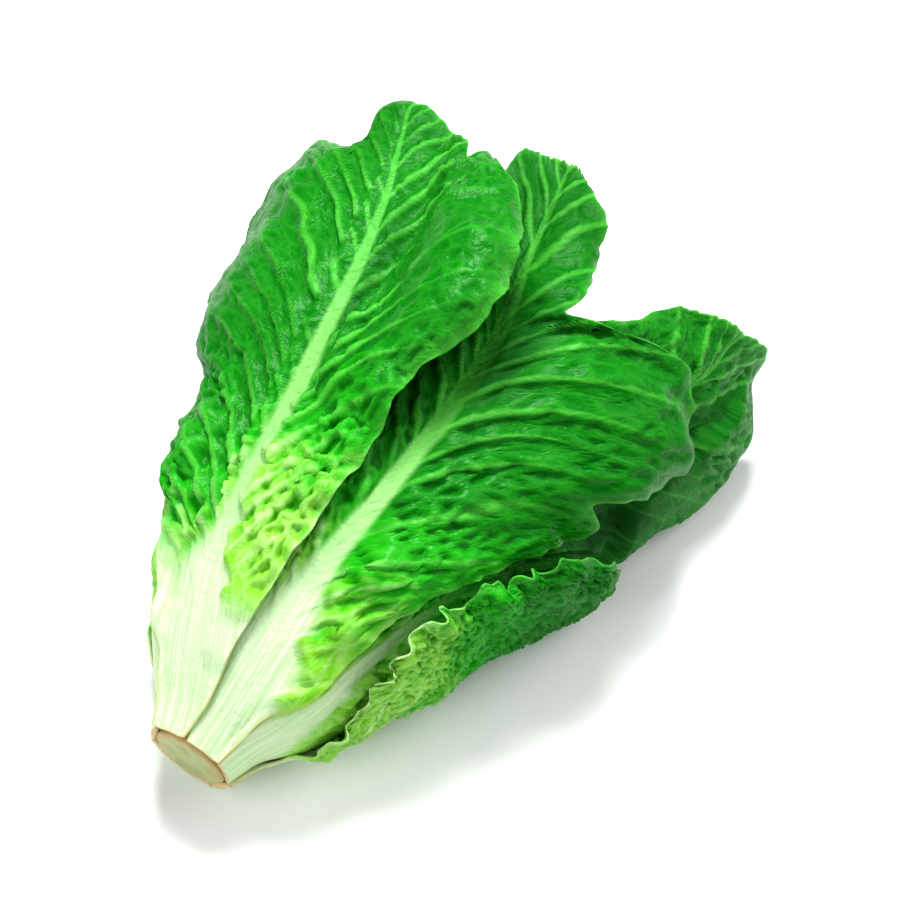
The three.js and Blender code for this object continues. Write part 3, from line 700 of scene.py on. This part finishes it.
def blade_tree():
    """Geometry tree that puffs a sheet up between its small veins and makes it a closed blade."""
    tree = bpy.data.node_groups.new("leaf_blade", "GeometryNodeTree")
    tree.interface.new_socket("Sheet", in_out="INPUT", socket_type="NodeSocketGeometry")
    sizes = {
        "Blade Thickness": SHOWN_BLADE * MM,
        "Pucker Height": PUCKER_HEIGHT * MM,
        "Pucker Size": PUCKER_SIZE,
    }
    for name, usual in sizes.items():
        socket = tree.interface.new_socket(name, in_out="INPUT", socket_type="NodeSocketFloat")
        socket.default_value = usual
    tree.interface.new_socket("Tissue", in_out="INPUT", socket_type="NodeSocketMaterial")
    tree.interface.new_socket("Blade", in_out="OUTPUT", socket_type="NodeSocketGeometry")
    graph = Graph(tree)
    given = tree.nodes.new("NodeGroupInput")
    sheet, thickness, pucker_height, pucker_size, material = (
        Wire(graph, given.outputs[name]) for name in ("Sheet", *sizes, "Tissue")
    )

    def stored(name, kind="FLOAT"):
        settings = {"data_type": kind}
        return graph.node("GeometryNodeInputNamedAttribute", settings, {"Name": name}, "Attribute")

    def scaled(vector, factor):
        return graph.vectors("SCALE", {0: vector, "Scale": factor})

    def moved(geometry, offset, **selection):
        values = {"Geometry": geometry, "Offset": offset, **selection}
        return graph.node("GeometryNodeSetPosition", None, values)

    place = stored("place", "FLOAT_VECTOR")
    outwards = graph.node("GeometryNodeInputNormal")
    cell_scale = pucker_size.maths("DIVIDE", 1, pucker_size)
    cells = graph.cells(place, cell_scale)
    small_cells = graph.cells(place, cell_scale * 2.1)
    broad = graph.noise(place, cell_scale * 0.45, 2)
    dome = cells.step(0, 0.40) - 0.5 + (small_cells.step(0, 0.45) - 0.5) * 0.45 + (broad - 0.5) * 1.2
    patches = graph.noise(place, 0.045, 1)
    strength = stored("crinkle") * (0.45 + patches.step(0.35, 0.65) * 0.75)
    puffed = moved(sheet, scaled(outwards, dome * pucker_height * strength))

    # The leaf's back carries the midrib; its front is a copy set in by the whole thickness.
    capture = tree.nodes.new("GeometryNodeCaptureAttribute")
    capture.capture_items.new("VECTOR", "Outwards")
    graph.plug(capture.inputs[0], puffed)
    graph.plug(capture.inputs[1], graph.node("GeometryNodeInputNormal"))
    kept_outwards = Wire(graph, capture.outputs[1])
    whole = thickness + stored("rib_height")
    back = moved(Wire(graph, capture.outputs[0]), scaled(kept_outwards, whole - thickness * 0.5))
    extruded = tree.nodes.new("GeometryNodeExtrudeMesh")
    extruded.mode = "FACES"
    graph.plug(extruded.inputs["Mesh"], back)
    extruded.inputs["Offset Scale"].default_value = 0
    extruded.inputs["Individual"].default_value = False
    front = moved(
        Wire(graph, extruded.outputs["Mesh"]), scaled(kept_outwards, whole * -1),
        Selection=Wire(graph, extruded.outputs["Top"]),
    )
    flipped = graph.node("GeometryNodeFlipFaces", None, {"Mesh": front})
    joined = tree.nodes.new("GeometryNodeJoinGeometry")
    graph.plug(joined.inputs[0], back)
    graph.plug(joined.inputs[0], flipped)
    closed = graph.node(
        "GeometryNodeMergeByDistance", None, {"Geometry": Wire(graph, joined.outputs[0]), "Distance": 1e-6},
    )
    position = graph.node("GeometryNodeInputPosition")
    lowest = (-10.0, -10.0, 0.0)
    on_ground = graph.vectors("MAXIMUM", {0: position, 1: lowest})
    standing = graph.node("GeometryNodeSetPosition", None, {"Geometry": closed, "Position": on_ground})
    smooth = graph.node("GeometryNodeSetShadeSmooth", None, {"Geometry": standing})
    real = graph.node("GeometryNodeRealizeInstances", None, {"Geometry": smooth})
    finished = graph.node("GeometryNodeSetMaterial", None, {"Geometry": real, "Material": material})
    result = tree.nodes.new("NodeGroupOutput")
    graph.plug(result.inputs[0], finished)
    return tree


LEAF_BLADE = blade_tree()


def leaf_tissue(name, deep, fresh, young):
    """Waxy leaf skin: deep green towards the tip, fresh green below it, yellow-green lower down
    and white at the foot, with paler ribs, veins and margins, painted shade in the hollows and the
    pleats' valleys, and a painted highlight along a margin that curls up into the light."""
    vein_green = (0.16, 0.72, 0.09, 1)
    young_vein = (0.52, 0.80, 0.33, 1)
    foot_rib = (0.42, 0.70, 0.30, 1)
    middle_rib = (0.20, 0.53, 0.12, 1)
    foot_green = (0.50, 0.74, 0.36, 1)
    string_white = (0.72, 0.87, 0.60, 1)
    dry_edge = (0.55, 0.50, 0.12, 1)
    cut_brown = (0.66, 0.42, 0.18, 1)
    shade_green = (0.0003, 0.035, 0.001, 1)
    green_gloss = (0.65, 1.0, 0.7, 1)
    material, graph, shader = tissue(name, 0.38, 0.105)
    shader["Specular Tint"].default_value = green_gloss
    place = graph.attribute("place", "Vector")
    green, rib, vein = (graph.attribute(layer) for layer in ("green", "rib", "vein"))
    white, reach, cut = (graph.attribute(layer) for layer in ("white", "reach", "cut"))
    pleat, edge = graph.attribute("pleat"), graph.attribute("edge")
    clouds = graph.noise(place, 0.055, 3)
    speckle = graph.noise(place, 0.4, 4)
    net = graph.cells(place, 1 / PUCKER_SIZE)
    fine_net = graph.cells(place, 2.1 / PUCKER_SIZE)
    # The pleat term is painted shade: deeper green in the pleats' valleys, paler on their crests.
    ripeness = green + (clouds - 0.5) * 0.55 + (speckle - 0.5) * 0.3 - pleat * 0.10
    ripeness = ripeness + (net.step(0, 0.4) - 0.5) * 0.18
    lower = graph.mixed(ripeness.step(0.0, 0.5), young, fresh)
    blade = graph.mixed(ripeness.step(0.4, 0.95), lower, deep)
    paler = tuple(0.5 * part + 0.5 * light for part, light in zip(fresh, vein_green))
    lowness = 1 - ripeness.step(0.0, 0.6)
    thread_colour = graph.mixed(lowness, paler, young_vein)
    threads = (1 - net.step(0.0, 0.16)) * (0.06 + lowness * 0.15)
    threads = threads + (1 - fine_net.step(0.0, 0.16)) * (0.04 + lowness * 0.08)
    # The edge share adds a pale line along the margins and a painted highlight where a margin curls up into
    # the light.
    veined = graph.mixed(vein.step(0.15, 0.9) * 0.62 + threads + edge * 0.55, blade, thread_colour)
    lower_rib = graph.mixed(reach.step(0.15, 0.5), foot_rib, middle_rib)
    rib_green = graph.attribute("rib_green")
    rib_colour = graph.mixed(rib_green, lower_rib, paler)
    rib_share = (rib + (speckle - 0.5) * 0.12).step(0.25, 0.75) * (1 - rib_green * 0.5)
    ribbed = graph.mixed(rib_share, veined, rib_colour)
    stretched = graph.node("ShaderNodeMapping", None, {"Vector": place, "Scale": (0.05, 1.1, 1.0)})
    strings = graph.noise(stretched, 1.0, 3)
    foot_white = graph.mixed(strings.step(0.3, 0.75), foot_green, string_white)
    footed = graph.mixed((white + (speckle - 0.5) * 0.25).step(0.1, 0.95), ribbed, foot_white)
    dryness = (graph.attribute("foot_edge") + (speckle - 0.5) * 0.7).step(0.2, 0.9) * 0.6
    dried = graph.mixed(dryness, footed, dry_edge)
    brownness = (cut + (speckle - 0.5) * 0.5).step(0.25, 0.9) * 0.8
    browned = graph.mixed(brownness, dried, cut_brown)
    # Painted shade: the colour turns to dark shade green in the hollows, which are also made rougher.
    painted_shade = graph.attribute("painted_shade")
    graph.plug(shader["Base Color"], graph.mixed(painted_shade, browned, shade_green))
    graph.plug(shader["Roughness"], 0.22 + speckle * 0.22 + white * 0.12 + painted_shade * 0.4)
    height = net.step(0, 0.25) * 0.6 + fine_net.step(0, 0.3) * 0.4 + strings * white * 0.5 + speckle * 0.4
    bump = {"Height": height * (1 - white * 0.6), "Strength": 0.5, "Distance": 0.0009}
    graph.plug(shader["Normal"], graph.node("ShaderNodeBump", None, bump))
    return material


def grow(node, leaf, material, pucker=PUCKER_HEIGHT):
    """Makes the leaf's sheet, turns it into a closed blade and puts it in place of its node."""
    points, place, paints = leaf.sheet()
    rows, columns = points.shape[:2]
    piece = new_piece(f"lettuce_{node}", points.reshape(-1, 3), grid_faces(rows, columns)[:, ::-1])
    for name, values in paints.items():
        paint(piece.data, name, values)
    where = piece.data.attributes.new("place", "FLOAT_VECTOR", "POINT")
    where.data.foreach_set("vector", place.astype(np.float32).ravel())
    modifier = piece.modifiers.new("blade", "NODES")
    modifier.node_group = LEAF_BLADE
    sockets = {item.name: item.identifier for item in LEAF_BLADE.interface.items_tree}
    modifier[sockets["Blade Thickness"]] = SHOWN_BLADE * MM
    modifier[sockets["Pucker Height"]] = pucker * MM
    modifier[sockets["Pucker Size"]] = PUCKER_SIZE
    modifier[sockets["Tissue"]] = material
    evaluated = piece.evaluated_get(bpy.context.evaluated_depsgraph_get())
    finished = bpy.data.meshes.new_from_object(evaluated)
    piece.modifiers.remove(modifier)
    piece.data = finished
    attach(piece, "root")
    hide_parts(node)


STEM_GAP = 0.4
cover = along(STEM_PROFILE, COVER_S) + STEM_GAP + BLADE / 2
heart_tissue = leaf_tissue(
    "heart_tissue", deep=(0.40, 0.66, 0.10, 1), fresh=(0.60, 0.78, 0.22, 1), young=(0.80, 0.86, 0.50, 1),
)
HEART_LEAVES = [
    dict(bearing=60, base=34, end=178, ride=0.20, share=0.42, ruffle=2.5),
    dict(bearing=-110, base=30, end=188, ride=0.26, share=0.48, ruffle=2.5),
    dict(bearing=-10, base=24, end=205, ride=0.36, share=0.55, ruffle=3),
    dict(bearing=115, base=22, end=212, ride=0.40, share=0.6, ruffle=3),
    dict(bearing=-125, base=20, end=215, ride=0.43, share=0.6, ruffle=3),
]
for number, heart in enumerate(HEART_LEAVES):
    leaf = Leaf(
        bearing=[(0, heart["bearing"]), (300, heart["bearing"] + 12)],
        ride=[(0, heart["ride"]), (150, heart["ride"]), (300, heart["ride"] * 1.15)],
        base=heart["base"], end=heart["end"], ruffle=heart["ruffle"], ruffle_length=30,
        left=narrowed(heart["share"]), right=narrowed(heart["share"]), rib=INNER_RIB,
        phase=1.3 * number, ground=33 - 3 * number, rows=64, columns=40, frill=0.8, greening=(0.3, 0.9),
    )
    cover = leaf.lay(cover)
    grow(f"heart_leaf_{number + 1}", leaf, heart_tissue, pucker=1.4)


# Inner leaves.
# Five middle-sized leaves fill the head between the heart and the outer leaves. They have seen
# little light, so they are yellow-green, with thinner midribs than the leaves outside.
inner_tissue = leaf_tissue(
    "inner_tissue", deep=(0.10, 0.42, 0.02, 1), fresh=(0.34, 0.68, 0.07, 1), young=(0.72, 0.84, 0.38, 1),
)
INNER_LEAVES = [
    dict(bearing=-48, base=14, end=228, ride=0.60, share=0.74, ground=17),
    dict(bearing=20, base=13, end=230, ride=0.61, share=0.76, ground=17),
    dict(bearing=-100, base=12, end=226, ride=0.64, share=0.78, ground=17),
    dict(bearing=95, base=12, end=228, ride=0.66, share=0.78, ground=18),
    dict(bearing=170, base=11, end=225, ride=0.73, share=0.82, ground=13.5),
]
for number, inner in enumerate(INNER_LEAVES):
    leaf = Leaf(
        bearing=[(0, inner["bearing"]), (300, inner["bearing"] + 6)],
        ride=[(0, inner["ride"]), (150, inner["ride"]), (300, inner["ride"] * 1.12)],
        base=inner["base"], end=inner["end"], ruffle=3.5, ruffle_length=33,
        left=narrowed(inner["share"]), right=narrowed(inner["share"]), rib=INNER_RIB,
        phase=2.1 * number + 0.5, ground=inner["ground"], rows=90, columns=60,
    )
    cover = leaf.lay(cover)
    grow(f"inner_leaf_{number + 1}", leaf, inner_tissue)


# Right-hand leaf.
# It lies on the head's right side. Its tip shows past the middle leaf, and its outer half folds
# up again past the midrib, which leaves a hollow along the middle; painted shade darkens it.
outer_tissue = leaf_tissue(
    "outer_tissue", deep=(0.0005, 0.14, 0.002, 1), fresh=(0.006, 0.33, 0.002, 1), young=(0.20, 0.60, 0.02, 1),
)
leaf = Leaf(
    end=278,
    bearing=[(0, -75), (28, -74), (46, -74), (80, -75), (110, -78), (171, -80), (228, -80), (300, -78)],
    ride=[(0, 1), (30, 0.95), (80, 0.84), (110, 0.84), (171, 0.80), (228, 0.84), (300, 0.98)],
    left=[
        (0, 7.4), (0.04, 10), (0.08, 13.5), (0.15, 21), (0.3, 40), (0.45, 58), (0.6, 66),
        (0.72, 54), (0.82, 38), (1, 32),
    ],
    right=[
        (0, 7.4), (0.04, 10), (0.08, 13.5), (0.15, 21), (0.3, 40), (0.45, 56), (0.6, 66),
        (0.72, 66), (0.85, 60), (1, 54),
    ],
    tip=[
        (-1, 0.76), (-0.93, 0.83), (-0.82, 0.88), (-0.6, 0.94), (-0.3, 0.985), (0, 0.98),
        (0.37, 0.945), (0.7, 0.90), (0.9, 0.87), (1, 0.83),
    ],
    folds=[(-0.95, 210, 0.55, 75, 30)], phase=0.6, ground=10, rows=220, columns=140,
    pleat=2.4, crinkle=0.5, grain=0.95,
    foot=[(0, 30), (0.06, 17), (0.11, 8), (0.2, 5), (0.35, 4), (0.6, 3), (1, 2)],
    rib_swing=[(0, 0), (0.1, 1), (0.28, 5), (0.4, 6), (0.6, 2), (1, 0)],
    rib_white=[(0, 9), (0.1, 5.5), (0.2, 3.6), (0.5, 2.6), (0.7, 2), (1, 0.6)], rib_fade=(0.24, 0.42),
    # Painted shade: in the hollow along the middle, under the middle leaf's lobe and over the outer flap.
    painted_shades=[
        (-14, 200, 13, 40, 0.93), (-26, 180, 11, 26, 0.95), (-5, 150, 14, 30, 0.6),
        (-52, 185, 22, 60, 0.35),
    ],
    flaps=[
        (-1, 26, 125, [(0, 18), (26, 9), (60, 5), (120, 5)], 4, 4),
        (-1, 152, 262, [(150, 46), (179, 40), (184, 28), (199, 21), (220, 20), (262, 24)], 1.5, 11),
    ],
)
cover = leaf.lay(cover)
grow("leaf_right", leaf, outer_tissue, pucker=4)


# Leaf under the left-hand leaf.
# It wraps the head's left side, and shows as a yellow-green blade with a pale frilled margin.
leaf = Leaf(
    end=222,
    bearing=[(0, 76), (60, 86), (150, 92), (300, 95)],
    ride=[(0, 1), (30, 1.02), (60, 1.06), (100, 0.98), (150, 0.88), (300, 0.85)],
    left=narrowed(0.85), right=narrowed(0.85), ruffle=3, ruffle_length=30, phase=2.2, ground=10,
    rows=150, columns=90, crinkle=0.8, greening=(0.2, 0.75), frill=1.4, teeth=1.0,
)
cover = leaf.lay(cover)
grow("leaf_under_left", leaf, outer_tissue)


# Middle leaf.
# Its long midrib runs in a valley up to a narrow tip; painted shade darkens the valley and the
# tip. Its right half swells into a broad glossy lobe that hangs over the right-hand leaf, above a
# puckered yellow-green lower blade.
leaf = Leaf(
    end=285,
    bearing=[(0, -25), (30, -20), (63, -17.6), (114, -20.6), (184, -21.5), (240, -14), (300, -2)],
    ride=[(0, 1), (30, 0.96), (63, 0.9), (114, 0.86), (184, 0.82), (300, 0.84)],
    left=[
        (0, 7.4), (0.04, 10), (0.08, 13.5), (0.15, 20), (0.3, 36), (0.45, 50), (0.6, 58),
        (0.75, 50), (0.86, 28), (1, 26),
    ],
    right=[
        (0, 7.4), (0.04, 10), (0.08, 14), (0.12, 25), (0.2, 33), (0.27, 46), (0.32, 54), (0.36, 58),
        (0.40, 50), (0.44, 55), (0.5, 67), (0.56, 63), (0.62, 55), (0.68, 46), (0.71, 38), (0.74, 22),
        (0.84, 22), (0.92, 14), (1, 12),
    ],
    tip=[
        (-1, 0.93), (-0.7, 0.96), (-0.3, 0.99), (0, 1), (0.4, 0.985), (0.8, 0.955), (0.95, 0.92),
        (1, 0.90),
    ],
    lean=(0.45, 1.0), folds=[(-0.62, 200, 0.5, 50, 17), (0.55, 210, 0.4, 60, -8)],
    phase=4.1, ground=10, rows=250, columns=150, pleat=3.8, crinkle=0.4, grain=0.85,
    flaps=[
        (-1, 26, 118, [(0, 30), (26, 21), (60, 17), (118, 14)], 8, 4.5),
        (-1, 156, 214, [(150, 13), (170, 13), (197, 18), (214, 22)], 1, 3.5),
    ],
    foot=[(0, 30), (0.08, 18), (0.2, 10), (0.3, 6), (0.6, 3.5), (1, 2)], greener=(0, 0.07),
    rib_swing=[(0, 0), (0.2, 0), (0.4, -2), (0.55, -3), (0.68, -2), (0.85, 0), (1, 0)],
    rib_white=[(0, 9), (0.1, 7), (0.3, 4.6), (0.45, 3.6), (0.6, 2.8), (0.8, 1.6), (1, 0.6)],
    rib_fade=(0.40, 0.60),
    # Painted shade in the valley beside the midrib and near the tip.
    painted_shades=[(-9, 190, 8, 34, 0.8), (12, 170, 9, 45, 0.55), (0, 268, 60, 36, 0.42)],
    bulges=[(-1, 190, 0.3, 50, 10)], margin_nicks=[(-1, 0.695, 0.03, 28)],
)
cover = leaf.lay(cover)
grow("leaf_middle", leaf, outer_tissue, pucker=4.2)


# Left-hand leaf.
# It lies on top: a notched tip, a pleated hollow right of its midrib, a broad flap that bulges
# over the middle leaf, and a puckered yellow-green lower blade that laps over the midrib's side.
leaf = Leaf(
    end=276,
    bearing=[(0, 25), (15, 27), (38, 31), (86, 36), (160, 37), (220, 41), (273, 48), (310, 52)],
    ride=[(0, 1), (100, 1.0), (160, 1.02), (300, 1.05)],
    left=[
        (0, 7.4), (0.04, 11), (0.1, 14.5), (0.17, 18), (0.225, 22), (0.25, 31), (0.3, 34), (0.37, 42),
        (0.43, 52), (0.5, 60), (0.6, 68), (0.7, 68), (0.85, 60), (1, 58),
    ],
    right=[
        (0, 7.4), (0.045, 13), (0.115, 22), (0.15, 29), (0.217, 41), (0.293, 48), (0.371, 54),
        (0.43, 55), (0.48, 62), (0.54, 73), (0.615, 78), (0.71, 76), (0.786, 69), (0.85, 60), (1, 58),
    ],
    tip=[
        (-1, 0.79), (-0.9, 0.845), (-0.76, 0.885), (-0.5, 0.92), (-0.33, 0.945), (-0.16, 0.98), (0, 1),
        (0.12, 0.985), (0.2, 0.945), (0.27, 0.875), (0.36, 0.85), (0.55, 0.845), (0.75, 0.80),
        (0.92, 0.74), (1, 0.69),
    ],
    folds=[(-0.75, 195, 0.32, 45, 16), (-0.33, 205, 0.17, 60, -11), (0.6, 180, 0.4, 40, 4)],
    ruffle_length=36, phase=5.3, ground=10, rows=250, columns=150, pleat=4.2, crinkle=0.4, grain=0.85,
    foot=[(0, 30), (0.08, 20), (0.2, 13), (0.26, 8), (0.32, 5), (0.6, 3.5), (1, 2)],
    rib_white=[(0, 9), (0.1, 7), (0.3, 5.2), (0.5, 3.7), (0.7, 2.1), (0.85, 1.1), (1, 0.6)],
    # Painted shade in the pleated hollow right of the midrib and near the tip; a painted highlight along the
    # right margin, where it curls up into the light.
    painted_shades=[(-15, 190, 6, 45, 0.4), (0, 270, 60, 26, 0.25)], highlight_margin=(-1, 138, 235, 4.5),
    flaps=[
        (-1, 50, 128, [(0, 26), (50, 18), (70, 15), (128, 16)], 7, 4.5),
        (-1, 138, 268, [(139, 20), (186, 21), (219, 36), (255, 50)], 1.5, 9),
    ],
    rib_swing=[
        (0, 0), (0.12, 0), (0.2, -2.5), (0.31, -7.5), (0.45, -9.5), (0.62, -8.5), (0.8, -6), (0.92, -2),
        (1, 0),
    ],
    greener=(0.06, -0.06), foot_top=(0.10, 0.26),
    bulges=[(-1, 190, 0.3, 55, 6)], nicks=[(-0.62, 0.05, 0.035)],
)
cover = leaf.lay(cover)
grow("leaf_left", leaf, outer_tissue, pucker=4.2)


# Short leaf at the lower right.
# An outer leaf that ends halfway along the head, with a torn, toothed margin and a coarse blade.
leaf = Leaf(
    end=164,
    bearing=[(0, -127), (40, -127), (150, -128), (300, -126)],
    ride=[(0, 1.0), (50, 1.04), (85, 1.04), (120, 1.09), (155, 1.12), (300, 1.1)],
    left=[
        (0, 7.4), (0.05, 11), (0.14, 18), (0.2, 32), (0.24, 52), (0.29, 73), (0.35, 76), (0.5, 79),
        (0.6, 80), (0.75, 76), (1, 69),
    ],
    right=narrowed(0.8),
    tip=[
        (-1, 0.7), (-0.9, 0.8), (-0.6, 0.9), (-0.3, 0.96), (0, 0.98), (0.3, 0.96), (0.6, 0.88),
        (0.85, 0.78), (1, 0.66),
    ],
    ruffle=5, ruffle_length=27, phase=1.1, ground=3.6, rows=200, columns=170, grain=1.7,
    pleat=1.8, crinkle=1.0, greening=(0.15, 0.8), frill=3.0, teeth=2.7,
)
cover = leaf.lay(cover)
grow("leaf_short_right", leaf, outer_tissue, pucker=3.6)


# Leaf at the lower left.
# An outer leaf half under the head, pressed lightly on the table along its lower side.
leaf = Leaf(
    end=228, bearing=[(0, 128), (60, 130), (300, 134)], ride=[(0, 1), (100, 0.98), (200, 0.93)],
    left=narrowed(0.85), right=narrowed(0.7), ruffle_length=32, phase=3.1, ground=3.6,
    rows=150, columns=90, crinkle=0.6,
)
cover = leaf.lay(cover)
grow("leaf_lower_left", leaf, outer_tissue)


# Lowest leaf.
# The head rests on the back of this leaf, which its weight presses flat on the table.
leaf = Leaf(
    end=255, bearing=[(0, -178), (60, -177), (300, -178)], ride=[(0, 1.0), (300, 1.02)],
    left=narrowed(0.8), right=narrowed(0.8), ruffle=3, ruffle_length=36, phase=0.3, ground=0.6,
    rows=150, columns=90, crinkle=0.3,
)
cover = leaf.lay(cover)
grow("leaf_bottom", leaf, outer_tissue, pucker=0.8)
